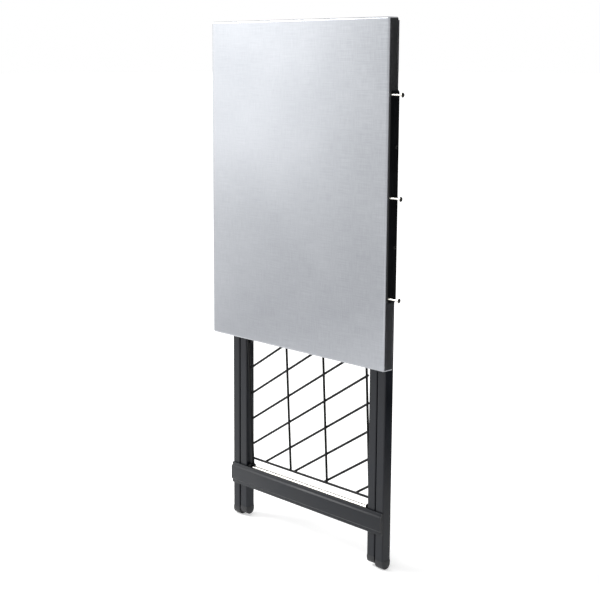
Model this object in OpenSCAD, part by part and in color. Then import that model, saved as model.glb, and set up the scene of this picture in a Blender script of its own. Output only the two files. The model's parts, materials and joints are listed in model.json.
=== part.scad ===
// Free-standing folding table, folded flat and standing on its outer feet.
// Steel tabletop in front, two crossing leg frames, a wire shelf and a side hook rail.

/* [Tabletop] */
// Width of the tabletop
top_width = 600; // [560:1:720]
// Length of the tabletop, upright when folded
top_length = 800; // [780:1:960]
// Depth of the tabletop's flanges
top_depth = 31; // [24:0.5:34]
// Sheet thickness of the tabletop
sheet = 1.2; // [0.8:0.1:2]
// Outer bend radius of the tabletop's edges
bend_r = 5; // [2.5:0.5:8]
// Height of the tabletop's lower edge above the floor
top_bottom_z = 501; // [450:1:560]

/* [Leg frames] */
// Width of each leg tube
leg_width = 24; // [18:0.5:28]
// Depth of each leg tube
leg_depth = 29; // [24:0.5:32]
// Wall of each leg tube
leg_wall = 1.6; // [1:0.1:2.5]
// Corner radius of each leg tube
leg_corner = 3; // [1:0.25:5]
// Gap between an outer leg and its inner leg
leg_gap = 3; // [2.6:0.1:6]
// Distance between the outer faces of the outer legs
frame_width = 537; // [480:1:560]
// Depth of the leg axes behind the tabletop's front face
leg_axis_y = 56.5; // [56:0.5:62]
// Height of the tabletop's hinge above the floor
hinge_z = 1255; // [1240:1:1262]
// Height of the inner feet above the floor when folded
inner_lift = 6; // [4:0.5:10]
// Drop of the top bar below the tabletop's hinge
bar_drop = 4.5; // [3:0.5:6]
// Travel of the top bar down the tabletop
bar_travel = 703.5; // [680:0.5:710]

/* [Crossbar] */
// Height of the crossbar's lower edge
crossbar_z = 88; // [60:1:110]
// Height of the crossbar
crossbar_height = 56; // [40:1:60]
// Depth of the crossbar's raised centre
crossbar_depth = 8; // [6:0.5:12]
// Thickness of the crossbar's lips
crossbar_lip = 4; // [2:0.5:5]

/* [Shelf] */
// Height of the shelf's pivot rod
rod_z = 138; // [120:1:180]
// Radius of the pivot rod
rod_r = 6.5; // [5:0.5:8]
// Length of the shelf from the pivot rod
shelf_length = 780; // [600:1:784]
// Forward lean of the stowed shelf in degrees
shelf_lean = 3; // [2:0.1:3.2]
// Radius of the shelf's rim wires
rim_r = 3; // [2:0.25:4]
// Radius of the shelf's inner wires
wire_r = 3; // [1.5:0.25:3.5]
// Spacing of the slanted wires, measured upright
wire_pitch = 69; // [40:1:120]
// Slope angle of the slanted wires in degrees
wire_angle = 32.5; // [20:0.5:45]

/* [Hook rail] */
// Length of the hook rail
rail_length = 480; // [380:1:560]
// Depth of the hook rail
rail_depth = 30; // [24:0.5:34]
// Thickness of the hook rail
rail_thick = 4; // [2:0.5:5]
// Height of the hook rail's centre
rail_z = 901.5; // [860:0.5:940]
// Reach of each hook peg from the rail
peg_reach = 32; // [20:0.5:40]
// Radius of each hook peg
peg_r = 2.25; // [1.5:0.25:3]
// Spacing of the hook pegs
peg_pitch = 229.5; // [150:0.5:229.5]

/* [Hidden] */
$fn = 64;

// Colours
steel = [0.80, 0.81, 0.83];
anthracite = [0.28, 0.29, 0.31];
black = [0.07, 0.07, 0.08];
polished = [0.86, 0.87, 0.89];

// Overall placement: the origin is the centre of the folded table's footprint
peg_head_r = 5.5;
peg_head = 3;
peg_y = 9;
screw_y = 26;
screw_r = 2;
screw_pitch = 113;
screw_head_r = 4;
right_x = top_width / 2 + rail_thick + peg_reach;
shift_x = (right_x - top_width / 2) / 2;
leg_back_y = leg_axis_y + leg_depth / 2;
leg_front_y = leg_axis_y - leg_depth / 2;
shift_y = leg_back_y / 2;
top_z = top_bottom_z + top_length;

// Leg positions across the width
outer_face = frame_width / 2;
outer_in = outer_face - leg_width;
inner_face = outer_in - leg_gap;
inner_in = inner_face - leg_width;
inner_depth = leg_depth - 1.2;

// Feet
foot_flat = 0.4;
foot_r = leg_depth / 2;
foot_axis_z = foot_r - foot_flat;
inner_foot_r = inner_depth / 2;
inner_foot_axis_z = inner_lift + foot_axis_z;
foot_collar = 22;
plug_in = 30;
fit_gap = 0.02;

// Hinges and pivots
pin_r = 4;
run_gap = 0.05;
bush_r = 7;
bar_z = hinge_z - bar_drop;
bar_r = 8;
bar_pin_r = 5;
outer_rise = 36;
cap_rise = 4;
outer_top_z = hinge_z + outer_rise;
top_tube_z = hinge_z + 24;
top_tube_r = 7;
inner_top_z = bar_z - 2;
outer_span = hinge_z - foot_axis_z;
pivot_drop = bar_drop * outer_span / (bar_drop + inner_lift);
pivot_z = hinge_z - pivot_drop;
pivot_r = 6;
pivot_stub = 1.2;
pivot_head_r = 9;
pivot_head = 2.5;

// Hinge brackets
bracket_gap = 0.6;
bracket_in = outer_face + bracket_gap;
bracket_t = 3;
bracket_out = bracket_in + bracket_t;
bracket_r = 8;
bracket_half = 28;
pin_head_r = 6;
pin_head = 1.5;

// Catch at the tray's lower end
catch_z = bar_z - bar_travel;
catch_y = 20;
catch_r = 4;
hook_x = 150;
hook_half = 3;
hook_slot = catch_r + 0.4;
catch_side = 190;

// Crossbar section
crossbar_top = crossbar_z + crossbar_height;
bar_back = leg_front_y;
lip_front = bar_back - crossbar_lip;
bar_front = bar_back - crossbar_depth;
lip_low = 12;
lip_high = 11;
chamfer = 4;
end_cap = 3;
rivet_x = outer_face - leg_width / 2;
rivet_z = crossbar_z + crossbar_height / 2;
rivet_r = 3;

// Shelf
shelf_offset = 4;
eye_r = 10;
eye_t = 6;
eye_x = inner_in - 8.5;
cross_z = 860;
cross_r = 7;
wire_layer = wire_r + rim_r - 1.1;
long_x = 65;
shelf_first = 26;
wire_slope = tan(wire_angle);
wire_run = 2 * eye_x;
wire_count = ceil((shelf_length + wire_slope * wire_run) / wire_pitch);
wire_ref = 28.2 + wire_slope * 51;
washer_t = 3;

module placed() {
  translate([-shift_x, -shift_y, 0]) children();
}

module mirror_x() {
  children();
  mirror([1, 0, 0]) children();
}

// A rod along X from x0 to x1
module rod_x(x0, x1, y, z, r) {
  translate([x0, y, z]) rotate([0, 90, 0]) cylinder(h = x1 - x0, r = r);
}

// A rod along Y from y0 to y1
module rod_y(x, y0, y1, z, r) {
  translate([x, y0, z]) rotate([-90, 0, 0]) cylinder(h = y1 - y0, r = r);
}

// A block with a rounded front face, as a folded sheet has
module soft_block(w, d, h, r) {
  x = w / 2 - r;
  translate([-x, 0, r]) cube([2 * x, d, h - 2 * r]);
  translate([-w / 2, r, r]) cube([w, d - r, h - 2 * r]);
  translate([-x, r, 0]) cube([2 * x, d - r, h]);
  for (sx = [-x, x]) {
    translate([sx, r, r]) cylinder(h = h - 2 * r, r = r);
    for (sz = [r, h - r]) {
      rod_y(sx, r, d, sz, r);
      translate([sx, r, sz]) sphere(r = r);
    }
  }
  for (sz = [r, h - r]) rod_x(-x, x, r, sz, r);
}

module tabletop_tray() {
  color(steel) placed() translate([0, 0, top_bottom_z]) difference() {
    soft_block(top_width, top_depth, top_length, bend_r);
    translate([0, sheet, sheet])
      soft_block(top_width - 2 * sheet, top_depth, top_length - 2 * sheet, bend_r - sheet);
  }
}

// Hat channels that stiffen the sheet from behind
module tabletop_stiffeners() {
  hat_t = 1.5;
  hat_h = 10;
  hat_w = 34;
  foot_w = 12;
  margin = 60;
  color(steel) placed() for (x = [-95, 95])
    translate([x, sheet, top_bottom_z + margin]) linear_extrude(top_length - 2 * margin)
      difference() {
        union() {
          translate([-hat_w / 2 - foot_w, 0]) square([hat_w + 2 * foot_w, hat_t]);
          translate([-hat_w / 2, 0]) square([hat_w, hat_h]);
        }
        translate([-hat_w / 2 + hat_t, -1]) square([hat_w - 2 * hat_t, hat_h - hat_t + 1]);
      }
}

module hinge_bracket() {
  foot_w = 20;
  rivet_x = bracket_out + foot_w / 2;
  difference() {
    union() {
      translate([bracket_in, 0, 0]) rotate([90, 0, 90]) linear_extrude(bracket_t)
        polygon([[sheet, hinge_z - bracket_half], [leg_axis_y - 6, hinge_z - bracket_r],
          [leg_axis_y, hinge_z - bracket_r], [leg_axis_y, hinge_z + bracket_r],
          [leg_axis_y - 6, hinge_z + bracket_r], [sheet, hinge_z + bracket_half]]);
      rod_x(bracket_in, bracket_out, leg_axis_y, hinge_z, bracket_r);
      translate([bracket_in, sheet, hinge_z - bracket_half])
        cube([bracket_t + foot_w, bracket_t, 2 * bracket_half]);
      for (z = [-17, 17]) rod_y(rivet_x, sheet, sheet + bracket_t + 1.5, hinge_z + z, 4);
    }
    rod_x(bracket_in - 1, bracket_out + 1, leg_axis_y, hinge_z, pin_r);
  }
}

module hinge_bracket_left() {
  color(steel) placed() mirror([1, 0, 0]) hinge_bracket();
}

module hinge_bracket_right() {
  color(steel) placed() hinge_bracket();
}

module hinge_pin() {
  rod_x(outer_in, bracket_out, leg_axis_y, hinge_z, pin_r);
  rod_x(bracket_out, bracket_out + pin_head, leg_axis_y, hinge_z, pin_head_r);
}

module hinge_pin_left() {
  color(polished) placed() mirror([1, 0, 0]) hinge_pin();
}

module hinge_pin_right() {
  color(polished) placed() hinge_pin();
}

// The rod that the latch hooks close on when the table is open
module catch_rod() {
  color(polished) placed() rod_x(-catch_side, catch_side, catch_y, catch_z, catch_r);
}

module catch_brackets() {
  plate = 3;
  half = 14;
  color(steel) placed() mirror_x() difference() {
    union() {
      translate([catch_side - plate, sheet, catch_z - half]) cube([plate, catch_y - sheet, 2 * half]);
      translate([catch_side - plate, sheet, catch_z - half]) cube([plate + 16, plate, 2 * half]);
      rod_x(catch_side - plate, catch_side, catch_y, catch_z, 8);
    }
    rod_x(catch_side - plate - 1, catch_side + 1, catch_y, catch_z, catch_r);
  }
}

module hook_rail() {
  rail_r = 7;
  y0 = 4;
  half = rail_length / 2;
  color(black) placed() difference() {
    translate([top_width / 2, 0, rail_z]) union() {
      translate([0, y0, -half + rail_r]) cube([rail_thick, rail_depth, 2 * (half - rail_r)]);
      translate([0, y0 + rail_r, -half]) cube([rail_thick, rail_depth - 2 * rail_r, 2 * half]);
      for (sy = [y0 + rail_r, y0 + rail_depth - rail_r], sz = [-half + rail_r, half - rail_r])
        rod_x(0, rail_thick, sy, sz, rail_r);
    }
    for (k = [-1, 0, 1])
      rod_x(top_width / 2 - 1, right_x, peg_y, rail_z + k * peg_pitch, peg_r);
    for (k = [-1, 1])
      rod_x(top_width / 2 - 1, right_x, screw_y, rail_z + k * screw_pitch, screw_r);
  }
}

module hook_pegs() {
  color(polished) placed() for (k = [-1, 0, 1]) translate([0, 0, rail_z + k * peg_pitch]) {
    rod_x(top_width / 2, right_x - 1, peg_y, 0, peg_r);
    rod_x(right_x - peg_head, right_x, peg_y, 0, peg_head_r);
  }
}

module rail_screws() {
  face = top_width / 2 + rail_thick;
  color(polished) placed() for (k = [-1, 1]) translate([0, 0, rail_z + k * screw_pitch]) {
    rod_x(top_width / 2, face, screw_y, 0, screw_r);
    rod_x(face, face + 1.4, screw_y, 0, screw_head_r);
    rod_x(face + 1.4, face + 2.8, screw_y, 0, 2.6);
  }
}

// A column with rounded corners, centred on a leg's axis
module column(w, d, z0, z1, r) {
  x = w / 2 - r;
  y = d / 2 - r;
  translate([0, leg_axis_y, z0]) {
    translate([-w / 2, -y, 0]) cube([w, 2 * y, z1 - z0]);
    translate([-x, -d / 2, 0]) cube([2 * x, d, z1 - z0]);
    for (sx = [-x, x], sy = [-y, y]) translate([sx, sy, 0]) cylinder(h = z1 - z0, r = r);
  }
}

// A leg tube, open at both ends
module leg_tube(depth, z0, z1) {
  difference() {
    column(leg_width, depth, z0, z1, leg_corner);
    column(leg_width - 2 * leg_wall, depth - 2 * leg_wall, z0 - 1, z1 + 1, leg_corner - leg_wall / 2);
  }
}

module outer_leg() {
  mid = outer_face - leg_width / 2;
  difference() {
    translate([mid, 0, 0]) leg_tube(leg_depth, foot_collar, outer_top_z);
    rod_x(outer_in - 1, outer_face + 1, leg_axis_y, hinge_z, bush_r);
    rod_x(outer_in - 1, outer_face + 1, leg_axis_y, pivot_z, pivot_r);
    rod_x(outer_in - 1, outer_in + leg_wall + 1, leg_axis_y, top_tube_z, top_tube_r);
  }
}

module outer_leg_left() {
  color(anthracite) placed() mirror([1, 0, 0]) outer_leg();
}

module outer_leg_right() {
  color(anthracite) placed() outer_leg();
}

// A plastic foot with a half-round tip and a plug up the tube
module leg_foot(depth, axis_z, flat_z, collar_z) {
  r = depth / 2;
  intersection() {
    union() {
      rod_x(-leg_width / 2, leg_width / 2, leg_axis_y, axis_z, r);
      translate([-leg_width / 2, leg_axis_y - r, axis_z]) cube([leg_width, depth, collar_z - axis_z]);
    }
    column(leg_width, depth, flat_z, collar_z, leg_corner);
  }
  leg_plug(depth, collar_z, collar_z + plug_in);
}

module leg_plug(depth, z0, z1) {
  inner_w = leg_width - 2 * leg_wall - 2 * fit_gap;
  inner_d = depth - 2 * leg_wall - 2 * fit_gap;
  column(inner_w, inner_d, z0, z1, leg_corner - leg_wall / 2);
}

module outer_foot() {
  translate([outer_face - leg_width / 2, 0, 0]) leg_foot(leg_depth, foot_axis_z, 0, foot_collar);
}

module outer_foot_left() {
  color(black) placed() mirror([1, 0, 0]) outer_foot();
}

module outer_foot_right() {
  color(black) placed() outer_foot();
}

module outer_top_caps() {
  color(black) placed() mirror_x() translate([outer_face - leg_width / 2, 0, 0]) {
    column(leg_width, leg_depth, outer_top_z, outer_top_z + cap_rise, leg_corner);
    leg_plug(leg_depth, outer_top_z - 3, outer_top_z);
  }
}

module outer_hinge_bushes() {
  color(black) placed() mirror_x() difference() {
    rod_x(outer_in, outer_face, leg_axis_y, hinge_z, bush_r);
    rod_x(outer_in - 1, outer_face + 1, leg_axis_y, hinge_z, pin_r + run_gap);
  }
}

module outer_top_tube() {
  reach = outer_in + leg_wall;
  color(anthracite) placed() difference() {
    rod_x(-reach, reach, leg_axis_y, top_tube_z, top_tube_r);
    rod_x(-reach - 1, reach + 1, leg_axis_y, top_tube_z, top_tube_r - 1.6);
  }
}

// The crossbar's section: two lips and a raised centre with chamfers
module crossbar_outline() {
  polygon([[bar_back, crossbar_z], [lip_front, crossbar_z],
    [lip_front, crossbar_z + lip_low - chamfer], [bar_front, crossbar_z + lip_low],
    [bar_front, crossbar_top - lip_high], [lip_front, crossbar_top - lip_high + chamfer],
    [lip_front, crossbar_top], [bar_back, crossbar_top]]);
}

module crossbar() {
  color(anthracite) placed() difference() {
    translate([-outer_face + end_cap, 0, 0]) rotate([90, 0, 90])
      linear_extrude(frame_width - 2 * end_cap)
        crossbar_outline();
    for (x = [-1, 1]) rod_y(x * rivet_x, lip_front, bar_back + 1, rivet_z, rivet_r);
  }
}

module crossbar_end_caps() {
  color(black) placed() mirror_x() translate([outer_face - end_cap, 0, 0])
    rotate([90, 0, 90]) linear_extrude(end_cap)
      crossbar_outline();
}

// Rivets that hold the crossbar to the outer legs from inside its raised centre
module crossbar_rivets() {
  color(polished) placed() for (x = [-1, 1]) rod_y(x * rivet_x, lip_front, bar_back, rivet_z, rivet_r);
}

// The outer half of the scissor pivot
module pivot_bolts() {
  color(polished) placed() mirror_x() {
    rod_x(outer_in - pivot_stub, outer_face, leg_axis_y, pivot_z, pivot_r);
    rod_x(outer_face, outer_face + pivot_head, leg_axis_y, pivot_z, pivot_head_r);
  }
}

module top_bar() {
  shoulder = inner_in - 0.5;
  color(anthracite) placed() union() {
    rod_x(-shoulder, shoulder, leg_axis_y, bar_z, bar_r);
    rod_x(-inner_face, inner_face, leg_axis_y, bar_z, bar_pin_r);
  }
}

// Hooks that reach forward from the top bar, with slots that open downwards
module latch_hooks() {
  mouth = catch_z - bar_z + bar_travel;
  color(black) placed() mirror_x() translate([hook_x - hook_half, 0, bar_z])
    difference() {
      union() {
        rotate([90, 0, 90]) linear_extrude(2 * hook_half)
          polygon([[leg_axis_y, -9], [leg_axis_y, 9], [catch_y - 3, 14], [catch_y - 5.5, 10],
            [catch_y - 5.5, -14], [catch_y + 10, -14], [catch_y + 10, -6]]);
        rod_x(0, 2 * hook_half, leg_axis_y, 0, 11);
      }
      rod_x(-1, 2 * hook_half + 1, leg_axis_y, 0, bar_r);
      rod_x(-1, 2 * hook_half + 1, catch_y, mouth, hook_slot);
      translate([-1, catch_y - hook_slot, mouth - 20]) cube([2 * hook_half + 2, 2 * hook_slot, 20]);
    }
}

module inner_leg() {
  mid = inner_face - leg_width / 2;
  difference() {
    translate([mid, 0, 0]) leg_tube(inner_depth, inner_lift + foot_collar, inner_top_z);
    rod_x(inner_in - 1, inner_face + 1, leg_axis_y, bar_z, bush_r);
    rod_x(inner_in - 1, inner_face + 1, leg_axis_y, pivot_z, pivot_r);
    rod_x(inner_in - 1, inner_in + leg_wall + 1, leg_axis_y, rod_z, rod_r);
    rod_x(inner_in - 1, inner_in + leg_wall + 1, leg_axis_y, cross_z, cross_r);
  }
}

module inner_leg_left() {
  color(anthracite) placed() mirror([1, 0, 0]) inner_leg();
}

module inner_leg_right() {
  color(anthracite) placed() inner_leg();
}

module inner_foot() {
  translate([inner_face - leg_width / 2, 0, 0])
    leg_foot(inner_depth, inner_foot_axis_z, inner_lift, inner_lift + foot_collar);
}

module inner_foot_left() {
  color(black) placed() mirror([1, 0, 0]) inner_foot();
}

module inner_foot_right() {
  color(black) placed() inner_foot();
}

// Half-round caps over the tops of the inner legs
module inner_top_caps() {
  color(black) placed() mirror_x() difference() {
    translate([inner_face - leg_width / 2, 0, 0]) union() {
      intersection() {
        rod_x(-leg_width / 2, leg_width / 2, leg_axis_y, bar_z, inner_foot_r);
        column(leg_width, inner_depth, inner_top_z, bar_z + leg_depth, leg_corner);
      }
      leg_plug(inner_depth, inner_top_z - 24, inner_top_z);
    }
    rod_x(inner_in - 1, inner_face + 1, leg_axis_y, bar_z, bush_r);
  }
}

module inner_hinge_bushes() {
  color(black) placed() mirror_x() difference() {
    rod_x(inner_in, inner_face, leg_axis_y, bar_z, bush_r);
    rod_x(inner_in - 1, inner_face + 1, leg_axis_y, bar_z, bar_pin_r + run_gap);
  }
}

module inner_cross_tube() {
  reach = inner_in + leg_wall;
  color(anthracite) placed() difference() {
    rod_x(-reach, reach, leg_axis_y, cross_z, cross_r);
    rod_x(-reach - 1, reach + 1, leg_axis_y, cross_z, cross_r - 1.6);
  }
}

module shelf_rod() {
  reach = inner_in + leg_wall;
  color(polished) placed() rod_x(-reach, reach, leg_axis_y, rod_z, rod_r);
}

module rod_washers() {
  color(black) placed() mirror_x() difference() {
    rod_x(inner_in - washer_t, inner_in, leg_axis_y, rod_z, 9);
    rod_x(inner_in - washer_t - 1, inner_in + 1, leg_axis_y, rod_z, rod_r);
  }
}

// The inner half of the scissor pivot
module pivot_bushes() {
  color(polished) placed() mirror_x() {
    rod_x(inner_in, inner_face + pivot_stub, leg_axis_y, pivot_z, pivot_r);
    rod_x(inner_in - pivot_head, inner_in, leg_axis_y, pivot_z, pivot_head_r);
  }
}

// The shelf's own plane: x across, y towards the rear, z along its length from the rod
module on_shelf() {
  placed() translate([0, leg_axis_y, rod_z]) rotate([shelf_lean, 0, 0]) children();
}

// A slanted wire across the shelf, cut to the rim
module slant_wire(z_mid) {
  x0 = max(-eye_x, (shelf_first - z_mid) / wire_slope);
  x1 = min(eye_x, (shelf_length - z_mid) / wire_slope);
  if (x1 - x0 > 2 * rim_r)
    translate([x0, shelf_offset + wire_layer, z_mid + wire_slope * x0])
      rotate([0, 90 - wire_angle, 0]) cylinder(h = (x1 - x0) / cos(wire_angle), r = wire_r, $fn = 24);
}

module wire_shelf() {
  color(black) on_shelf() {
    for (z = [shelf_first, shelf_length]) {
      rod_x(-eye_x, eye_x, shelf_offset, z, rim_r);
    }
    for (x = [-eye_x, eye_x]) translate([x, shelf_offset, 12]) {
      cylinder(h = shelf_length - 12, r = rim_r, $fn = 24);
      translate([0, 0, shelf_length - 12]) sphere(r = rim_r, $fn = 24);
    }
    for (x = [-long_x, long_x]) translate([x, shelf_offset, shelf_first])
      cylinder(h = shelf_length - shelf_first, r = wire_r, $fn = 24);
    for (k = [-ceil(wire_count / 2):wire_count]) slant_wire(wire_ref + k * wire_pitch);
  }
}

// Eyes on the side wires that turn on the pivot rod
module shelf_eyes() {
  color(black) on_shelf() for (sx = [-eye_x, eye_x]) difference() {
    union() {
      rod_x(sx - eye_t / 2, sx + eye_t / 2, 0, 0, eye_r);
      translate([sx - eye_t / 2, shelf_offset - rim_r, 0]) cube([eye_t, 2 * rim_r, 20]);
    }
    rod_x(sx - eye_t, sx + eye_t, 0, 0, rod_r + run_gap);
    translate([sx, shelf_offset, 12]) cylinder(h = 20, r = rim_r, $fn = 24);
  }
}

tabletop_tray();
tabletop_stiffeners();
hinge_bracket_left();
hinge_bracket_right();
hinge_pin_left();
hinge_pin_right();
catch_rod();
catch_brackets();
hook_rail();
hook_pegs();
rail_screws();
outer_leg_left();
outer_leg_right();
outer_foot_left();
outer_foot_right();
outer_top_caps();
outer_hinge_bushes();
outer_top_tube();
crossbar();
crossbar_end_caps();
crossbar_rivets();
pivot_bolts();
top_bar();
latch_hooks();
inner_leg_left();
inner_leg_right();
inner_foot_left();
inner_foot_right();
inner_top_caps();
inner_hinge_bushes();
inner_cross_tube();
shelf_rod();
rod_washers();
pivot_bushes();
wire_shelf();
shelf_eyes();
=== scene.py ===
# %% [markdown]
# # A folding table, folded flat and standing on its feet
# A brushed steel tabletop hangs in front of two powder-coated leg frames. A welded wire shelf is stowed
# between the inner legs, and a black rail with three pegs is screwed to the tabletop's side.
# The solid model arrives as a fixed frame. This lesson adds what the eye reads: folded and rolled edges,
# welded wires, turned pegs, moulded feet, and a finish for every surface.

# %% Load the frame
import json
import math

import bmesh
import bpy
from mathutils import Matrix, Vector


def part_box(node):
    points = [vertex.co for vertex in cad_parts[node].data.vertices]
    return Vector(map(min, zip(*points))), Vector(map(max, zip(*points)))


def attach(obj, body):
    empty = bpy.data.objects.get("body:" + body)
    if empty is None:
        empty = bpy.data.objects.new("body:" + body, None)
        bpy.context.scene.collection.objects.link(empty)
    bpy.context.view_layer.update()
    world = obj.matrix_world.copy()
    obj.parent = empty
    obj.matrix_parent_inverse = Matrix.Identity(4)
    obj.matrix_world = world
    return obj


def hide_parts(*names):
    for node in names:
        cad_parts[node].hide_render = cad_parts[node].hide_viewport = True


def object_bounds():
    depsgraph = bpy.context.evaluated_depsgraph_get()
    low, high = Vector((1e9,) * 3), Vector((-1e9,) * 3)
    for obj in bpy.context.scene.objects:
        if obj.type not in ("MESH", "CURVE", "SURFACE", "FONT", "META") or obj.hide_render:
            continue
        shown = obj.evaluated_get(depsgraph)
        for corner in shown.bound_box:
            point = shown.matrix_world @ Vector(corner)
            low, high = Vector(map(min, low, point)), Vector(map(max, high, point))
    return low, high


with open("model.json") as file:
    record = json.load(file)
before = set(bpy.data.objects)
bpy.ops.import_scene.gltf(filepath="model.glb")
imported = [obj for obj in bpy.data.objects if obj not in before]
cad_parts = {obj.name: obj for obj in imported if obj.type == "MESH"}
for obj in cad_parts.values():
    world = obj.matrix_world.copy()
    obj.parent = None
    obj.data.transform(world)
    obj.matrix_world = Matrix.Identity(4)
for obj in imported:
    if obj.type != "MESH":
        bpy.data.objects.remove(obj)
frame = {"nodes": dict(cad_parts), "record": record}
cad_low, cad_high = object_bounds()
MM = 0.001
print("overall size in mm:", [round((b - a) / MM, 1) for a, b in zip(cad_low, cad_high)])

# %% [markdown]
# Places and outer sizes come from the frame. A node's box tells where it is, so the pieces land on the
# solid model with no fitting. Two helpers read a box's corners and its centre in one short call.


# %% Read places from the frame
def corners(node):
    low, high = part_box(node)
    return low, high


def centre(node):
    low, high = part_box(node)
    return (low + high) / 2


tray_low, tray_high = corners("tabletop_tray")
mid_x = centre("tabletop_tray").x
rod_axis = centre("shelf_rod")
leg_low, leg_high = corners("outer_leg_right")
print("tabletop in mm:", [round(v / MM, 1) for v in tray_high - tray_low])
print("pivot rod at", [round(v / MM, 1) for v in rod_axis])

# %% [markdown]
# ## Colour and node helpers
# A colour picked on a screen is sRGB, and a shader wants linear light, so one function turns a hex value
# into linear numbers. One more function adds a node with its settings and links. It serves the material
# trees and the geometry trees alike.


# %% Helpers for colours and nodes
def linear(hex_code):
    channels = [int(hex_code[i : i + 2], 16) / 255 for i in (1, 3, 5)]
    bent = [c / 12.92 if c <= 0.04045 else ((c + 0.055) / 1.055) ** 2.4 for c in channels]
    return (*bent, 1.0)


def add(tree, kind, sockets=None, **settings):
    node = tree.nodes.new(kind)
    for key, value in settings.items():
        setattr(node, key, value)
    for key, value in (sockets or {}).items():
        if isinstance(value, bpy.types.NodeSocket):
            tree.links.new(value, node.inputs[key])
        else:
            node.inputs[key].default_value = value
    return node


def start_material(name, **values):
    material = bpy.data.materials.new(name)
    material.use_nodes = True
    tree = material.node_tree
    shader = tree.nodes["Principled BSDF"]
    for key, value in values.items():
        shader.inputs[key.replace("_", " ")].default_value = value
    return material, tree, shader


print("mid grey in linear light:", [round(c, 3) for c in linear("#808080")])

# %% [markdown]
# ## Brushed stainless steel
# The tabletop is a sheet of stainless steel brushed with a fine abrasive belt. The belt leaves parallel
# scratches that catch the light as a soft sheen across the grain. The real scratches are about 0.1 mm
# apart, far too fine to show from here, so they are drawn about 1.5 mm apart and 60 mm long. A weaker set
# runs across them, and a wide noise gives the faint cloudiness that a rolled sheet has. The grain follows
# the sheet's own flat map, so it runs round the bends as it does on a sheet brushed before it was folded.


# %% Brushed stainless steel
def brushed_stainless(name, flat_map, light, dark, grain_mm=1.5, length_mm=60.0):
    material, tree, shader = start_material(name, Metallic=1.0, Roughness=0.34)
    place = add(tree, "ShaderNodeTexCoord")
    source = place.outputs["UV" if flat_map else "Object"]
    along, across = 1 / (length_mm * MM), 1 / (grain_mm * MM)
    stretch = (along, across, 0) if flat_map else (along, across, across)
    scratches = add(tree, "ShaderNodeMapping", {"Vector": source, "Scale": stretch})
    grain = add(tree, "ShaderNodeTexNoise",
                {"Vector": scratches.outputs["Vector"], "Scale": 1.0, "Detail": 4.0, "Roughness": 0.65})
    cross = add(tree, "ShaderNodeMapping", {"Vector": source, "Scale": (across / 2, along * 2, along)})
    weft = add(tree, "ShaderNodeTexNoise",
               {"Vector": cross.outputs["Vector"], "Scale": 1.0, "Detail": 3.0, "Roughness": 0.6})
    cloud = add(tree, "ShaderNodeTexNoise", {"Vector": source, "Scale": 1 / (260 * MM), "Detail": 2.0})
    both = add(tree, "ShaderNodeMix", {0: 0.38, 2: grain.outputs["Fac"], 3: weft.outputs["Fac"]})
    fine = add(tree, "ShaderNodeMapRange",
               {"Value": both.outputs[0], "From Min": 0.3, "From Max": 0.7, "To Min": 0.0, "To Max": 1.0})
    tone = add(tree, "ShaderNodeMix",
               {0: 0.45, 2: fine.outputs["Result"], 3: cloud.outputs["Fac"]})
    ramp = add(tree, "ShaderNodeValToRGB", {"Fac": tone.outputs[0]})
    ramp.color_ramp.elements[0].color = linear(dark)
    ramp.color_ramp.elements[1].color = linear(light)
    tree.links.new(ramp.outputs["Color"], shader.inputs["Base Color"])
    rough = add(tree, "ShaderNodeMapRange", {"Value": both.outputs[0], "From Min": 0.3, "From Max": 0.7,
                                             "To Min": 0.27, "To Max": 0.44})
    tree.links.new(rough.outputs["Result"], shader.inputs["Roughness"])
    bump = add(tree, "ShaderNodeBump",
               {"Height": grain.outputs["Fac"], "Strength": 0.18, "Distance": 0.05 * MM})
    tree.links.new(bump.outputs["Normal"], shader.inputs["Normal"])
    return material


sheet_steel = brushed_stainless("brushed_stainless_sheet", True, "#B6B8BC", "#8E9196")
bracket_steel = brushed_stainless("brushed_stainless_brackets", False, "#A9ABAE", "#808387", 1.0, 30.0)
print("steel grain is drawn 1.5 mm wide and 60 mm long")

# %% [markdown]
# ## Powder coat
# The legs are steel tube under a baked anthracite powder coat. The powder melts into a satin skin with a
# slight orange peel, bumps about 1 mm across. The coat is a plastic, so it isn't metallic: its lift comes
# from the soft highlight along each rounded corner. Handling polishes it a little, which a slow noise in
# the roughness gives. A finely textured coat mirrors less than a smooth plastic, so its specular level is
# set below the usual half. The rail and the wires have the same coat in black.


# %% Powder coat
def powder_coat(name, base, worn, rough_low, rough_high, peel_mm=1.2, shine=0.33):
    material, tree, shader = start_material(name, Specular_IOR_Level=shine)
    place = add(tree, "ShaderNodeTexCoord").outputs["Object"]
    peel = add(tree, "ShaderNodeTexNoise", {"Vector": place, "Scale": 1 / (peel_mm * MM), "Detail": 2.0})
    wear = add(tree, "ShaderNodeTexNoise", {"Vector": place, "Scale": 1 / (90 * MM), "Detail": 5.0})
    spread = add(tree, "ShaderNodeMapRange", {"Value": wear.outputs["Fac"], "From Min": 0.35,
                                              "From Max": 0.65, "To Min": rough_low, "To Max": rough_high})
    ramp = add(tree, "ShaderNodeValToRGB", {"Fac": wear.outputs["Fac"]})
    ramp.color_ramp.elements[0].position = 0.3
    ramp.color_ramp.elements[0].color = linear(base)
    ramp.color_ramp.elements[1].position = 0.75
    ramp.color_ramp.elements[1].color = linear(worn)
    bump = add(tree, "ShaderNodeBump",
               {"Height": peel.outputs["Fac"], "Strength": 0.25, "Distance": 0.08 * MM})
    tree.links.new(ramp.outputs["Color"], shader.inputs["Base Color"])
    tree.links.new(spread.outputs["Result"], shader.inputs["Roughness"])
    tree.links.new(bump.outputs["Normal"], shader.inputs["Normal"])
    return material


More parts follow.
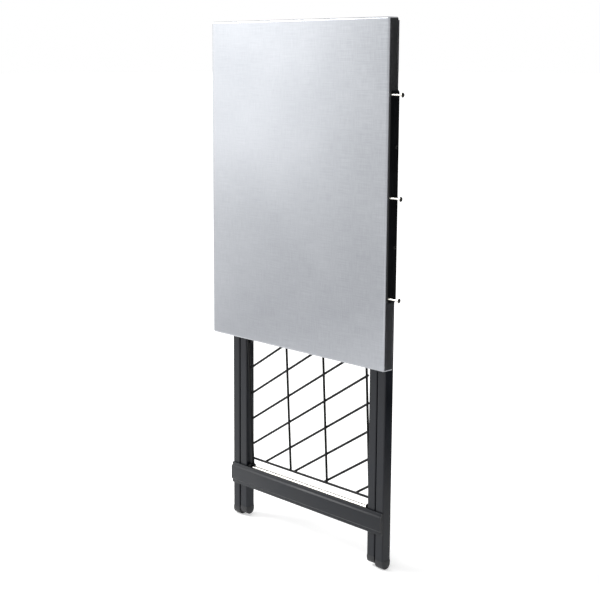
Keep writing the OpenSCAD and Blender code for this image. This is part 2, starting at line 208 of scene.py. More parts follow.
anthracite = powder_coat("anthracite_powder_coat", "#0B0E14", "#12161D", 0.36, 0.48)
black_coat = powder_coat("black_powder_coat", "#08090B", "#0E0F12", 0.32, 0.45)
wire_coat = powder_coat("black_wire_coat", "#050607", "#0A0B0D", 0.34, 0.46, 0.8, 0.15)
print("coats:", anthracite.name, black_coat.name, wire_coat.name)

# %% [markdown]
# ## Polished steel and moulded plastic
# The pivot rod, the pegs and the pivot's bolts are polished, so they mirror the room with only a hint of
# drawing lines along them. The feet, caps and bushes are moulded from black polypropylene with the fine
# spark-eroded grain that hides scuffs, here 0.6 mm across.


# %% Polished steel
def polished_steel(name, tint, low, high):
    material, tree, shader = start_material(name, Metallic=1.0, Base_Color=linear(tint))
    place = add(tree, "ShaderNodeTexCoord").outputs["Object"]
    along, across = 40, 1800  # drawing lines per metre
    lines = add(tree, "ShaderNodeMapping", {"Vector": place, "Scale": (along, across, across)})
    noise = add(tree, "ShaderNodeTexNoise", {"Vector": lines.outputs["Vector"], "Scale": 1.0, "Detail": 3.0})
    rough = add(tree, "ShaderNodeMapRange", {"Value": noise.outputs["Fac"], "From Min": 0.3, "From Max": 0.7,
                                             "To Min": low, "To Max": high})
    tree.links.new(rough.outputs["Result"], shader.inputs["Roughness"])
    return material


print("polished steel ready")


# %% Moulded plastic
def moulded_plastic(name, base, pale):
    material, tree, shader = start_material(name, Roughness=0.55)
    place = add(tree, "ShaderNodeTexCoord").outputs["Object"]
    grain = add(tree, "ShaderNodeTexVoronoi", {"Vector": place, "Scale": 1 / (0.6 * MM)})
    scuff = add(tree, "ShaderNodeTexNoise", {"Vector": place, "Scale": 1 / (14 * MM), "Detail": 6.0})
    ramp = add(tree, "ShaderNodeValToRGB", {"Fac": scuff.outputs["Fac"]})
    ramp.color_ramp.elements[0].position = 0.45
    ramp.color_ramp.elements[0].color = linear(base)
    ramp.color_ramp.elements[1].position = 0.8
    ramp.color_ramp.elements[1].color = linear(pale)
    rough = add(tree, "ShaderNodeMapRange", {"Value": scuff.outputs["Fac"], "From Min": 0.3, "From Max": 0.7,
                                             "To Min": 0.48, "To Max": 0.64})
    bump = add(tree, "ShaderNodeBump",
               {"Height": grain.outputs["Distance"], "Strength": 0.2, "Distance": 0.05 * MM})
    tree.links.new(ramp.outputs["Color"], shader.inputs["Base Color"])
    tree.links.new(rough.outputs["Result"], shader.inputs["Roughness"])
    tree.links.new(bump.outputs["Normal"], shader.inputs["Normal"])
    return material


chrome = polished_steel("polished_steel_rod", "#D6D3CC", 0.07, 0.14)
screw_steel = polished_steel("polished_steel_screws", "#C9CBCE", 0.14, 0.24)
black_plastic = moulded_plastic("moulded_black_polypropylene", "#141518", "#232428")
print("polished and moulded finishes made")

# %% [markdown]
# ## From the solid model's nodes
# The nodes whose shape is already right keep it and only change finish. Each goes from its record slot
# to one of the materials above.


# %% Finish the nodes that stay
slot_finish = {
    "brushed_sheet": bracket_steel,
    "polished_metal": screw_steel,
    "anthracite_paint": anthracite,
    "black_paint": black_coat,
    "black_plastic": black_plastic,
}
slot_of = {row["node"]: row["material_slot"] for row in frame["record"]["subparts"]}
for name, node in frame["nodes"].items():
    node.data.materials.clear()
    node.data.materials.append(slot_finish[slot_of[name]])
print(len(slot_of), "nodes given a finish")

# %% [markdown]
# ## Making and placing pieces
# A piece is finished in three steps: its mesh is built in the frame's own place, its modifiers are
# turned into plain mesh, and it is tied to the body that it moves with. Settling every modifier first
# leaves an object at the origin whose mesh alone says where it is.


# %% Helpers for pieces
def link(name, mesh):
    piece = bpy.data.objects.new(name, mesh)
    bpy.context.scene.collection.objects.link(piece)
    return piece


def from_bmesh(name, shape):
    mesh = bpy.data.meshes.new(name)
    bmesh.ops.recalc_face_normals(shape, faces=shape.faces)
    shape.to_mesh(mesh)
    shape.free()
    return link(name, mesh)


def settle(piece, place=None):
    graph = bpy.context.evaluated_depsgraph_get()
    mesh = bpy.data.meshes.new_from_object(piece.evaluated_get(graph), depsgraph=graph)
    name = piece.name
    bpy.data.objects.remove(piece)
    if place is not None:
        mesh.transform(place)
    mesh.name = name
    return link(name, mesh)


def tie(piece, body, slot, finish, *nodes):
    piece.data.materials.clear()
    piece.data.materials.append(finish)
    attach(piece, body)
    if nodes:
        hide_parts(*nodes)
    print(piece.name, "has", len(piece.data.polygons), "faces and rides on", body)
    return piece


def smooth(piece, angle=35):
    for face in piece.data.polygons:
        face.use_smooth = True
    piece.data.set_sharp_from_angle(angle=math.radians(angle))
    return piece


def bevel(piece, width_mm, segments=3, angle=30):
    round_off = piece.modifiers.new("round_off", "BEVEL")
    round_off.width = width_mm * MM
    round_off.segments = segments
    round_off.limit_method = "ANGLE"
    round_off.angle_limit = math.radians(angle)
    return piece


print("helpers ready")

# %% [markdown]
# ## The tabletop
# The tabletop is one sheet 1.2 mm thick. Its four sides are folded back and each flange ends in a narrow
# return, so no cut edge faces a hand. Box modelling suits a folded sheet: a front face and four flanges
# are drawn with no thickness, Bevel rolls the folds, and Solidify gives the sheet its gauge inwards.

# %% Fold the tabletop
SHEET = 1.2 * MM
FOLD = 5 * MM
RETURN = 8 * MM
SLIGHT_FOLD = 0.35


def folded_sheet(name, low, high):
    shape = bmesh.new()
    rings = []
    for inset, y in ((0, low.y), (0, high.y), (RETURN, high.y)):
        ring = [(low.x + inset, low.z + inset), (high.x - inset, low.z + inset),
                (high.x - inset, high.z - inset), (low.x + inset, high.z - inset)]
        rings.append([shape.verts.new((x, y, z)) for x, z in ring])
    shape.faces.new(rings[0])
    for near, far in zip(rings, rings[1:]):
        for i in range(4):
            shape.faces.new((near[i], near[(i + 1) % 4], far[(i + 1) % 4], far[i]))
    return from_bmesh(name, shape)


def turn_outwards(piece, towards):
    facing = max(piece.data.polygons, key=lambda face: face.area)
    if facing.normal.dot(towards) < 0:
        piece.data.flip_normals()
    return piece


panel = turn_outwards(folded_sheet("tabletop_panel", tray_low, tray_high), Vector((0, -1, 0)))
weights = panel.data.attributes.new("bevel_weight_edge", "FLOAT", "EDGE")
for edge in panel.data.edges:
    ends = [panel.data.vertices[i].co for i in edge.vertices]
    at_front = all(abs(e.y - tray_low.y) < MM / 10 for e in ends)
    runs_back = abs(ends[0].y - ends[1].y) > MM
    weights.data[edge.index].value = 1.0 if at_front or runs_back else SLIGHT_FOLD
fold = panel.modifiers.new("fold", "BEVEL")
fold.limit_method = "WEIGHT"
fold.width = FOLD
fold.segments = 6
gauge = panel.modifiers.new("gauge", "SOLIDIFY")
gauge.thickness = SHEET
gauge.offset = -1
gauge.use_even_offset = True
panel = settle(panel)
print("tabletop sheet has", len(panel.data.polygons), "faces")


# %% [markdown]
# The brushing needs a flat map: across the front it is the front's own width and height, in metres, and
# on a flange it carries on past the fold by the depth, so the grain turns the corner with the sheet.


# %% Map the sheet flat
def map_flat(piece, low):
    layer = piece.data.uv_layers.new(name="flat_sheet")
    for face in piece.data.polygons:
        sideways = abs(face.normal.x) > 0.7
        upright = abs(face.normal.z) > 0.7
        for index in face.loop_indices:
            point = piece.data.vertices[piece.data.loops[index].vertex_index].co
            depth = point.y - low.y
            across = point.x + math.copysign(depth, point.x) if sideways else point.x
            up = point.z + depth if upright else point.z
            layer.data[index].uv = (across, up)
    return piece


map_flat(panel, tray_low)
tie(smooth(panel, 40), "tabletop", "brushed_sheet", sheet_steel, "tabletop_tray")


# %% [markdown]
# ## Turned parts by revolving
# Pegs, screws, bolts and the pivot rod are made on a lathe, so one function turns a profile round the X
# axis. A profile is a list of places along the axis, each with a radius in mm. A ring may be marked as a
# hexagon, which cuts the socket for a hex key into a button head.


# %% A lathe
def lathe(name, profile, sides=48):
    shape = bmesh.new()
    rings = []
    for x, radius, hexagon in profile:
        if radius == 0:
            rings.append([shape.verts.new((x * MM, 0, 0))])
            continue
        ring = []
        for i in range(sides):
            turn = 2 * math.pi * i / sides
            reach = radius
            if hexagon:
                reach = radius / math.cos((turn % (math.pi / 3)) - math.pi / 6)
            ring.append(shape.verts.new((x * MM, reach * MM * math.cos(turn), reach * MM * math.sin(turn))))
        rings.append(ring)
    for a, b in zip(rings, rings[1:]):
        for i in range(sides):
            j = (i + 1) % sides
            loop = [a[i % len(a)], a[j % len(a)], b[j % len(b)], b[i % len(b)]]
            shape.faces.new(list(dict.fromkeys(loop)))
    return from_bmesh(name, shape)


def arc(x, radius, corner, start, stop, steps=5):
    points = []
    for i in range(steps + 1):
        turn = math.radians(start + (stop - start) * i / steps)
        points.append((x + corner * math.cos(turn), radius + corner * math.sin(turn), False))
    return points


print("lathe ready")


# %% [markdown]
# ## One tree that repeats a part
# The pegs and the screws each repeat along a straight line. One Geometry Nodes tree does both: points on
# a line, the part on every point, then Realize Instances and Set Material so that the result is plain
# mesh with its finish.


# %% Geometry Nodes that repeat a part along a line
def start_tree(name, inputs):
    tree = bpy.data.node_groups.new(name, "GeometryNodeTree")
    tree.interface.new_socket("Geometry", in_out="OUTPUT", socket_type="NodeSocketGeometry")
    names = {}
    for label, kind in inputs:
        socket = tree.interface.new_socket(label, in_out="INPUT", socket_type=kind)
        names[label] = socket.identifier
    given = add(tree, "NodeGroupInput").outputs
    return tree, given, names


def finish_tree(tree, geometry, material):
    real = add(tree, "GeometryNodeRealizeInstances", {"Geometry": geometry})
    coated = add(tree, "GeometryNodeSetMaterial", {"Geometry": real.outputs[0], "Material": material})
    add(tree, "NodeGroupOutput", {"Geometry": coated.outputs[0]})


line_tree, given, line_inputs = start_tree("repeat_on_a_line", [
    ("Part", "NodeSocketObject"), ("Count", "NodeSocketInt"), ("Start", "NodeSocketVector"),
    ("Step", "NodeSocketVector"), ("Finish", "NodeSocketMaterial")])
line = add(line_tree, "GeometryNodeMeshLine", {"Count": given["Count"], "Start Location": given["Start"],
                                               "Offset": given["Step"]}, mode="OFFSET")
part = add(line_tree, "GeometryNodeObjectInfo", {"Object": given["Part"]})
copies = add(line_tree, "GeometryNodeInstanceOnPoints",
             {"Points": line.outputs["Mesh"], "Instance": part.outputs["Geometry"]})
finish_tree(line_tree, copies.outputs["Instances"], given["Finish"])


def run_tree(name, tree, names, values):
    piece = link(name, bpy.data.meshes.new(name))
    modifier = piece.modifiers.new("made_by_nodes", "NODES")
    modifier.node_group = tree
    for label, value in values.items():
        modifier[names[label]] = value
    piece.update_tag()
    return settle(piece)


def repeat(name, part_piece, count, start, step, finish):
    made = run_tree(name, line_tree, line_inputs, {
        "Part": part_piece, "Count": count, "Start": tuple(start), "Step": tuple(step), "Finish": finish})
    bpy.data.objects.remove(part_piece)
    return made


print("inputs of the line tree:", sorted(line_inputs))

# %% [markdown]
# ## The hook rail and its pegs
# The rail is a flat bar with rounded corners, coated black and screwed to the side flange. Its outline is
# drawn with four arcs, pushed out to its thickness and lightly rounded. Each peg is turned: a thin
# shank, a small collar at the rail and a domed head that keeps a tool from sliding off.


# %% The rail
def rounded_plate(name, low, high, corner_mm):
    shape = bmesh.new()
    corner = corner_mm * MM
    outline = []
    turns = ((high.y, high.z, 0), (low.y, high.z, 90), (low.y, low.z, 180), (high.y, low.z, 270))
    for cy, cz, start in turns:
        y = cy - math.copysign(corner, cy - (low.y + high.y) / 2)
        z = cz - math.copysign(corner, cz - (low.z + high.z) / 2)
        for i in range(7):
            turn = math.radians(start + 15 * i)
            outline.append((y + corner * math.cos(turn), z + corner * math.sin(turn)))
    face = shape.faces.new([shape.verts.new((low.x, y, z)) for y, z in outline])
    pushed = bmesh.ops.extrude_face_region(shape, geom=[face])["geom"]
    bmesh.ops.translate(shape, vec=(high.x - low.x, 0, 0),
                        verts=[v for v in pushed if isinstance(v, bmesh.types.BMVert)])
    return from_bmesh(name, shape)


rail_low, rail_high = corners("hook_rail")
rail = settle(bevel(rounded_plate("hook_rail_bar", rail_low, rail_high, 7), 0.8, 3))
tie(smooth(rail), "tabletop", "black_paint", black_coat, "hook_rail")

# %% The pegs
pegs_low, pegs_high = corners("hook_pegs")
reach = (pegs_high.x - rail_high.x) / MM
head = (pegs_high.y - pegs_low.y) / 2 / MM
SHANK = 2.25
SEAT = 3.0
FILLET = 1.4
collar = SHANK + FILLET
neck = reach - 4.2
peg_profile = [(-SEAT, 0, False), (-SEAT, SHANK, False), (0, SHANK, False), (0, collar, False),
               (1.2, collar, False), (1.6, SHANK, False), (neck, SHANK, False)]
peg_profile += arc(reach - 2.4, SHANK + 0.6, FILLET, 180, 90, 3)[1:]
peg_profile += [(reach - 2.2, head - 0.6, False), (reach - 1.8, head, False), (reach - 1.0, head, False)]
peg_profile += [(reach - 0.4, head - 0.9, False), (reach, head - 2.6, False), (reach, 0, False)]
peg = smooth(lathe("peg", peg_profile), 50)
peg_gap = (pegs_high.z - pegs_low.z - 2 * head * MM) / 2
peg_start = Vector((rail_high.x, (pegs_low.y + pegs_high.y) / 2, pegs_low.z + head * MM))
pegs = repeat("turned_pegs", peg, 3, peg_start, (0, 0, peg_gap), chrome)
tie(pegs, "tabletop", "polished_metal", chrome, "hook_pegs")


# %% [markdown]
# ## Button-head screws
# A button head is a low dome with a hexagonal socket. The same profile, drawn at two sizes, makes the
# rail's screws and the pivot bolts.


# %% Screws and bolts
def button_head(name, radius, height, socket):
    wall = height * 0.25
    crown = socket * 1.45
    dome = [(0, 0, False), (0, radius, False), (wall, radius, False)]
    for i in range(1, 6):
        turn = i / 5 * math.pi / 2
        rise = wall + (height - wall) * math.sin(turn)
        dome.append((rise, radius - (radius - crown) * (1 - math.cos(turn)), False))
    dome += [(height, socket * 1.25, False), (height, socket, True), (height * 0.35, socket, True)]
    dome += [(height * 0.3, 0, False)]
    return smooth(lathe(name, dome, 48), 40)


screws_low, screws_high = corners("rail_screws")
screw_r = (screws_high.y - screws_low.y) / 2
screw_gap = screws_high.z - screws_low.z - 2 * screw_r
screw = button_head("screw", screw_r / MM, (screws_high.x - rail_high.x) / MM, 1.5)
screw_start = (rail_high.x, (screws_low.y + screws_high.y) / 2, screws_low.z + screw_r)
screws = repeat("rail_button_screws", screw, 2, screw_start, (0, 0, screw_gap), black_coat)
tie(screws, "tabletop", "black_paint", black_coat, "rail_screws")

# %% [markdown]
# ## The wire shelf
# The shelf is a rim of 6 mm wire, with two long wires and a row of slanted wires welded across them.
# The slanted ones follow a rule: each starts where the rim starts and stops where it stops. Nodes work
# that out from the rim's four limits, so every wire is cut to its own length.

# %% Sizes of the shelf, in mm and radians
LEAN = math.radians(3)
RIM_R = 3.0
WIRE_R = 3.0
WELD = 1.1  # how far a wire sinks into the one that it is welded to
OFFSET = 4.0  # from the pivot rod's axis to the rim's plane
FIRST = 26.0  # from the pivot rod to the end rod
ANGLE = math.radians(32.5)
PITCH = 69.0
LONG_X = 65.0
CROSS_X, CROSS_Z = 51.0, 28.2  # a point that one slanted wire runs through, left of the middle
shelf_low, shelf_high = corners("wire_shelf")
EYE_X = (shelf_high.x - shelf_low.x) / 2 / MM - RIM_R
LENGTH = round((shelf_high.z - rod_axis.z) / MM / math.cos(LEAN) - RIM_R)
on_shelf = Matrix.Translation((mid_x, rod_axis.y, rod_axis.z)) @ Matrix.Rotation(LEAN, 4, "X")
print("shelf is", LENGTH, "mm long and", 2 * EYE_X, "mm between its side wires")

# %% Geometry Nodes that cut slanted wires to the rim
wire_tree, given, wire_inputs = start_tree("slanted_wires", [
    ("Count", "NodeSocketInt"), ("First", "NodeSocketFloat"), ("Pitch", "NodeSocketFloat"),
    ("Angle", "NodeSocketFloat"), ("Half width", "NodeSocketFloat"), ("Low", "NodeSocketFloat"),
    ("High", "NodeSocketFloat"), ("Layer", "NodeSocketFloat"), ("Radius", "NodeSocketFloat"),
    ("Finish", "NodeSocketMaterial")])


def sum_up(operation, first, second=None):
    sockets = {0: first}
    if second is not None:
        sockets[1] = second
    return add(wire_tree, "ShaderNodeMath", sockets, operation=operation).outputs[0]


start = add(wire_tree, "ShaderNodeCombineXYZ", {"Y": given["Layer"], "Z": given["First"]})
step = add(wire_tree, "ShaderNodeCombineXYZ", {"Z": given["Pitch"]})
points = add(wire_tree, "GeometryNodeMeshLine", {"Count": given["Count"], "Start Location": start.outputs[0],
                                                 "Offset": step.outputs[0]}, mode="OFFSET")
place = add(wire_tree, "GeometryNodeInputPosition")
height = add(wire_tree, "ShaderNodeSeparateXYZ", {0: place.outputs[0]}).outputs["Z"]
slope = sum_up("TANGENT", given["Angle"])
from_x = sum_up("MAXIMUM", sum_up("MULTIPLY", given["Half width"], -1.0),
                sum_up("DIVIDE", sum_up("SUBTRACT", given["Low"], height), slope))
to_x = sum_up("MINIMUM", given["Half width"],
              sum_up("DIVIDE", sum_up("SUBTRACT", given["High"], height), slope))
run = sum_up("SUBTRACT", to_x, from_x)
too_short = sum_up("LESS_THAN", run, 2 * RIM_R * MM)
kept = add(wire_tree, "GeometryNodeDeleteGeometry",
           {"Geometry": points.outputs["Mesh"], "Selection": too_short})
known = add(wire_tree, "GeometryNodeCaptureAttribute")
known.capture_items.new("FLOAT", "Length")
wire_tree.links.new(kept.outputs[0], known.inputs["Geometry"])
wire_tree.links.new(sum_up("DIVIDE", run, sum_up("COSINE", given["Angle"])), known.inputs[1])
shift = add(wire_tree, "ShaderNodeCombineXYZ", {"X": from_x, "Z": sum_up("MULTIPLY", from_x, slope)})
placed = add(wire_tree, "GeometryNodeSetPosition",
             {"Geometry": known.outputs[0], "Offset": shift.outputs[0]})
rod = add(wire_tree, "GeometryNodeMeshCylinder", {"Vertices": 16, "Radius": given["Radius"], "Depth": 1.0})
raised = add(wire_tree, "GeometryNodeTransform",
             {"Geometry": rod.outputs["Mesh"], "Translation": (0, 0, 0.5)})
tilt = add(wire_tree, "ShaderNodeCombineXYZ", {"Y": sum_up("SUBTRACT", math.pi / 2, given["Angle"])})
long = add(wire_tree, "ShaderNodeCombineXYZ", {"X": 1.0, "Y": 1.0, "Z": known.outputs[1]})
laid = add(wire_tree, "GeometryNodeInstanceOnPoints",
           {"Points": placed.outputs[0], "Instance": raised.outputs[0],
            "Rotation": tilt.outputs[0], "Scale": long.outputs[0]})
finish_tree(wire_tree, laid.outputs[0], given["Finish"])
print("inputs of the wire tree:", sorted(wire_inputs))

# %% The slanted wires
layer = OFFSET + WIRE_R + RIM_R - WELD
first_wire = CROSS_Z + math.tan(ANGLE) * CROSS_X
below = math.ceil((first_wire - FIRST + math.tan(ANGLE) * EYE_X) / PITCH)
slanted = run_tree("slanted_wires", wire_tree, wire_inputs, {
    "Count": 20, "First": (first_wire - below * PITCH) * MM, "Pitch": PITCH * MM, "Angle": ANGLE,
    "Half width": EYE_X * MM, "Low": FIRST * MM, "High": LENGTH * MM, "Layer": layer * MM,
    "Radius": WIRE_R * MM, "Finish": wire_coat})
slanted.data.transform(on_shelf)
tie(smooth(slanted), "shelf", "black_paint", wire_coat, "wire_shelf")


# %% [markdown]
# The rim is one wire bent round at the far end, so it is a path with arcs at its corners and a round
# section swept along it. The same sweep makes the straight end rod and the two long wires.


# %% Sweep a wire along a path
def swept(name, path, radius_mm, bend_mm=0.0, sides=20):
    points = [Vector(p) * MM for p in path]
    bent = [points[0]]
    for before, here, after in zip(points, points[1:], points[2:]):
        back, ahead = (before - here).normalized(), (after - here).normalized()
        half = back.angle(ahead) / 2
        cut = bend_mm * MM / math.tan(half)
        hub = here + (back + ahead).normalized() * (bend_mm * MM / math.sin(half))
        start, stop = here + back * cut - hub, here + ahead * cut - hub
        bent += [hub + start.normalized().slerp(stop.normalized(), i / 8) * bend_mm * MM for i in range(9)]
    bent.append(points[-1])
    curve = bpy.data.curves.new(name, "CURVE")
    curve.dimensions = "3D"
    curve.bevel_depth = radius_mm * MM
    curve.bevel_resolution = sides // 4 - 1
    curve.use_fill_caps = True
    spline = curve.splines.new("POLY")
    spline.points.add(len(bent) - 1)
    for point, at in zip(spline.points, bent):
        point.co = (*at, 1)
    piece = bpy.data.objects.new(name, curve)
    bpy.context.scene.collection.objects.link(piece)
    return settle(piece, on_shelf)


RIM_FOOT = 11  # where the side wires meet their eyes
RIM_BEND = 8
rim_path = [(-EYE_X, OFFSET, RIM_FOOT), (-EYE_X, OFFSET, LENGTH), (EYE_X, OFFSET, LENGTH)]
rim = swept("shelf_rim", rim_path + [(EYE_X, OFFSET, RIM_FOOT)], RIM_R, RIM_BEND)
tie(smooth(rim), "shelf", "black_paint", wire_coat, "wire_shelf")
end_rod = swept("shelf_end_rod", [(-EYE_X, OFFSET, FIRST), (EYE_X, OFFSET, FIRST)], RIM_R)
tie(smooth(end_rod), "shelf", "black_paint", wire_coat, "wire_shelf")
for side, x in (("left", -LONG_X), ("right", LONG_X)):
    wire = swept("long_wire_" + side, [(x, OFFSET, FIRST), (x, OFFSET, LENGTH)], WIRE_R)
    tie(smooth(wire), "shelf", "black_paint", wire_coat, "wire_shelf")

# %% [markdown]
# Each side wire ends in an eye, bent round the pivot rod. A ring of the rim's own wire stands for it,
# with a running clearance of a twentieth of a millimetre round the rod.

# %% The shelf's eyes
rod_r = (corners("shelf_rod")[1].z - corners("shelf_rod")[0].z) / 2 / MM
CLEARANCE = 0.05
ring_r = rod_r + CLEARANCE + RIM_R


def eye_ring(name, x):
    around = []
    for i in range(25):
        turn = 2 * math.pi * i / 24
        around.append((x + RIM_R * math.cos(turn), ring_r + RIM_R * math.sin(turn), False))
    ring = lathe(name, around, 64)
    joined = bmesh.new()
    joined.from_mesh(ring.data)
    bmesh.ops.remove_doubles(joined, verts=joined.verts, dist=0.001 * MM)
    bmesh.ops.recalc_face_normals(joined, faces=joined.faces)
    joined.to_mesh(ring.data)
    joined.free()
    ring.data.transform(on_shelf)
    return smooth(ring)


for side, x in (("left", -EYE_X), ("right", EYE_X)):
    tie(eye_ring("shelf_eye_" + side, x), "shelf", "black_paint", wire_coat, "shelf_eyes")

# %% The pivot rod
half_rod = (corners("shelf_rod")[1].x - corners("shelf_rod")[0].x) / 2 / MM
EDGE = 0.5
rod_profile = [(-half_rod, 0, False), (-half_rod, rod_r - EDGE, False), (-half_rod + EDGE, rod_r, False),
               (half_rod - EDGE, rod_r, False), (half_rod, rod_r - EDGE, False), (half_rod, 0, False)]
pivot_rod = lathe("pivot_rod", rod_profile, 96)
pivot_rod.data.transform(Matrix.Translation(rod_axis))
tie(smooth(pivot_rod, 30), "inner_frame", "polished_metal", chrome, "shelf_rod")

# %% [markdown]
# ## The crossbar
# The crossbar is pressed from sheet, with a raised middle between two lips. Its section is pushed along
# X and every edge is softened, because a coated edge is never sharp and a soft edge catches the light.


# %% The crossbar and its caps
def pushed_outline(name, outline, x0, x1):
    shape = bmesh.new()
    ends = [[shape.verts.new((x, y, z)) for y, z in outline] for x in (x0, x1)]
    shape.faces.new(ends[0])
    shape.faces.new(list(reversed(ends[1])))
    for i in range(len(outline)):
        j = (i + 1) % len(outline)
        shape.faces.new((ends[0][i], ends[0][j], ends[1][j], ends[1][i]))
    return from_bmesh(name, shape)


bar_low, bar_high = corners("crossbar")
caps_low, caps_high = corners("crossbar_end_caps")
LIP, CHAMFER = 4 * MM, 4 * MM
LOW_LIP, HIGH_LIP = 12 * MM, 11 * MM
bar_outline = [(bar_high.y, bar_low.z), (bar_high.y - LIP, bar_low.z),
               (bar_high.y - LIP, bar_low.z + LOW_LIP - CHAMFER), (bar_low.y, bar_low.z + LOW_LIP),
               (bar_low.y, bar_high.z - HIGH_LIP), (bar_high.y - LIP, bar_high.z - HIGH_LIP + CHAMFER),
               (bar_high.y - LIP, bar_high.z), (bar_high.y, bar_high.z)]
bar = settle(bevel(pushed_outline("pressed_crossbar", bar_outline, bar_low.x, bar_high.x), 0.9, 3, 20))
tie(smooth(bar, 30), "outer_frame", "anthracite_paint", anthracite, "crossbar")
for side, x0, x1 in (("left", caps_low.x, bar_low.x), ("right", bar_high.x, caps_high.x)):
    cap = settle(bevel(pushed_outline("crossbar_cap_" + side, bar_outline, x0, x1), 0.9, 3, 20))
    tie(smooth(cap, 30), "outer_frame", "black_plastic", black_plastic, "crossbar_end_caps")


# %% [markdown]
# ## The feet
# Each foot is a moulded cap pressed over the leg's end, with a half-round tip that lets the leg roll
# from folded to spread. The side outline is an arc between two straight sides, with a narrow flat below on
# the outer feet, and four shallow grooves across the tip give it grip.


# %% Moulded feet
HUB_UP = 14.1 * MM  # from the foot's lowest point to the middle of its round tip
STEPS = 48
GROOVES = (12, 18, 30, 36)
GROOVE = 0.5 * MM


def moulded_foot(name, node, leg):
    low, high = corners(node)
    top = corners(leg)[0].z
    r = (high.y - low.y) / 2
    mid_y = (low.y + high.y) / 2
    hub = low.z + HUB_UP
    flat = math.degrees(math.acos(min(1.0, HUB_UP / r)))
    outline = [(high.y, top), (high.y, hub)]
    for i in range(1, STEPS):
        turn = 180 * i / STEPS
        if abs(turn - 90) < flat:
            continue
        out = r - GROOVE if i in GROOVES else r
        y = mid_y + out * math.cos(math.radians(turn))
        z = hub - out * math.sin(math.radians(turn))
        outline.append((y, max(z, low.z)))
    outline += [(low.y, hub), (low.y, top)]
    return settle(bevel(pushed_outline(name, outline, low.x, high.x), 1.6, 3, 50))


for frame_name in ("outer", "inner"):
    for side in ("left", "right"):
        foot_node, leg_node = f"{frame_name}_foot_{side}", f"{frame_name}_leg_{side}"
        foot = moulded_foot(f"moulded_{frame_name}_foot_{side}", foot_node, leg_node)
        tie(smooth(foot, 40), frame_name + "_frame", "black_plastic", black_plastic, foot_node)

# %% [markdown]
# ## Bolts of the scissor pivot
# The pivot's two halves face each other between the legs. Each bolt is the button head again with a plain
# shank behind it, turned to look outwards on its own side.


# %% Pivot bolts
BOLT_R, BOLT_HEIGHT, BOLT_SOCKET, BOLT_SHANK = 9, 2.5, 3, 6
PROUD = 1.2  # how far the shank stands out of the leg's inner face
bolts_low, bolts_high = corners("pivot_bolts")
bolts_at = Vector((mid_x, (bolts_low.y + bolts_high.y) / 2, (bolts_low.z + bolts_high.z) / 2))
head_at = (leg_high.x - mid_x) / MM
shank_long = head_at - (leg_low.x - mid_x) / MM + PROUD


def pivot_bolt(side, turn):
    bolt = button_head("pivot_bolt_" + side, BOLT_R, BOLT_HEIGHT, BOLT_SOCKET)
    shank_profile = [(0, 0, False), (0, BOLT_SHANK, False), (shank_long, BOLT_SHANK, False),
                     (shank_long, 0, False)]
    stub = lathe("stub", shank_profile)
    stub.data.transform(Matrix.Rotation(math.pi, 4, "Z"))
    whole = bmesh.new()
    whole.from_mesh(bolt.data)
    whole.from_mesh(stub.data)
    bpy.data.objects.remove(stub)
    whole.to_mesh(bolt.data)
    whole.free()
    outwards = Matrix.Rotation(turn, 4, "Z") @ Matrix.Translation((head_at * MM, 0, 0))
    bolt.data.transform(Matrix.Translation(bolts_at) @ outwards)
    return smooth(bolt, 40)


for side, turn in (("left", math.pi), ("right", 0.0)):
    tie(pivot_bolt(side, turn), "outer_frame", "polished_metal", screw_steel, "pivot_bolts")

# %% [markdown]
# ## Floor, light and camera
# The floor is plain and white, and glows a little as a light table does. A broad soft light stands in front
# and to the left, a small one above it picks out upward edges, a weak one fills from the right, and an even
# pale room does the rest. Cards that the camera doesn't see give the steel something to mirror: a dark pair
# behind and to the right for the side flange, and a grey one on the floor for the front's lower half.


# %% Floor and cards
def board(name, size, place, finish, upright=False, turn=0):
    shape = bmesh.new()
    bmesh.ops.create_grid(shape, x_segments=1, y_segments=1, size=size / 2)
    plate = from_bmesh(name, shape)
    stand = Matrix.Rotation(math.pi / 2 if upright else 0.0, 4, "X")
    plate.data.transform(Matrix.Translation(place) @ Matrix.Rotation(math.radians(turn), 4, "Z") @ stand)
    plate.data.materials.append(finish)
    return plate


def card(name, size, place, finish, upright, turn):
    sheet = board(name, size, place, finish, upright, turn)
    sheet.visible_camera = False
    sheet.visible_shadow = False
    sheet.visible_diffuse = upright


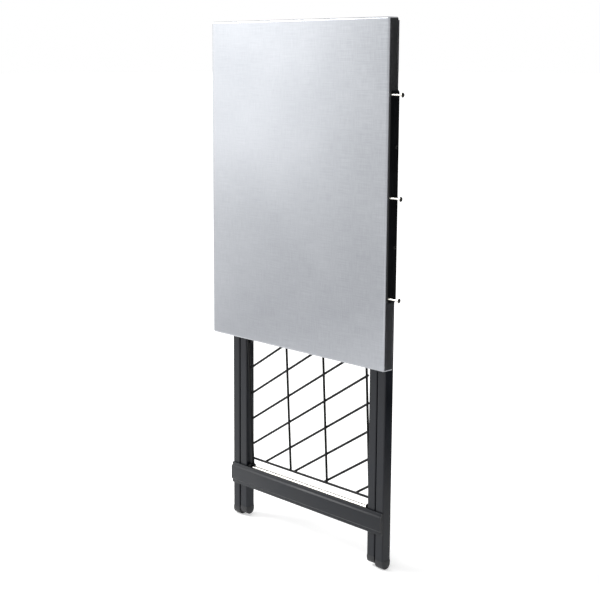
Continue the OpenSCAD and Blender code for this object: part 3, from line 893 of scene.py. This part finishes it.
white_floor = start_material("back_lit_white_floor", Roughness=0.9, Base_Color=linear("#F4F4F4"),
                             Emission_Color=linear("#FFFFFF"), Emission_Strength=0.3)[0]
dark_felt = start_material("dark_felt_card", Roughness=1.0, Base_Color=linear("#0A0A0B"))[0]
grey_felt = start_material("grey_felt_card", Roughness=1.0, Base_Color=linear("#BEBEC0"))[0]
board("floor", 160.0, (0, 0, cad_low.z - 0.5 * MM), white_floor)
card("dark_card", 3.2, (1.4, 1.1, 0.9), dark_felt, True, -45)
card("grey_floor_card", 2.6, (-1.5, -2.1, 0.02), grey_felt, False, 45)
card("dark_floor_card", 1.5, (1.25, 0.95, 0.02), dark_felt, False, 45)
print("a floor and three cards")


# %% Light
def softbox(name, place, aim, size, power):
    lamp = bpy.data.lights.new(name, "AREA")
    lamp.size = size
    lamp.energy = power
    holder = bpy.data.objects.new(name, lamp)
    holder.location = place
    holder.rotation_euler = (Vector(aim) - Vector(place)).to_track_quat("-Z", "Y").to_euler()
    bpy.context.scene.collection.objects.link(holder)


softbox("key_softbox", (-3.4, -2.2, 1.9), (0, 0, 0.8), 2.8, 36)
softbox("high_softbox", (-2.2, -1.3, 2.9), (0, 0, 0.2), 1.2, 70)
softbox("fill_softbox", (1.6, -3.2, 3.0), (0, 0, 0.6), 2.0, 10)
world = bpy.data.worlds.new("pale_room")
bpy.context.scene.world = world
world.use_nodes = True
room = world.node_tree.nodes["Background"]
room.inputs["Color"].default_value = linear("#FFFFFF")
room.inputs["Strength"].default_value = 1.0
bpy.context.scene.view_settings.view_transform = "Standard"
print("three softboxes and a pale room")

# %% [markdown]
# The camera stands about three metres away at chest height, to the right of the tabletop, and looks down a
# little. A small lens shift moves the object to its place in the frame.

# %% Camera
LOOK_DOWN = 9.54
LOOK_LEFT = 47.64
lens = bpy.data.cameras.new("camera")
lens.lens = 75.67
lens.shift_x = 0.071
lens.shift_y = -0.05
camera = bpy.data.objects.new("camera", lens)
camera.location = (2.161, -2.139, 1.211)
camera.rotation_euler = (math.radians(90 - LOOK_DOWN), 0, math.radians(LOOK_LEFT))
bpy.context.scene.collection.objects.link(camera)
bpy.context.scene.camera = camera
print("camera stands", round(camera.location.length, 2), "m from the origin")
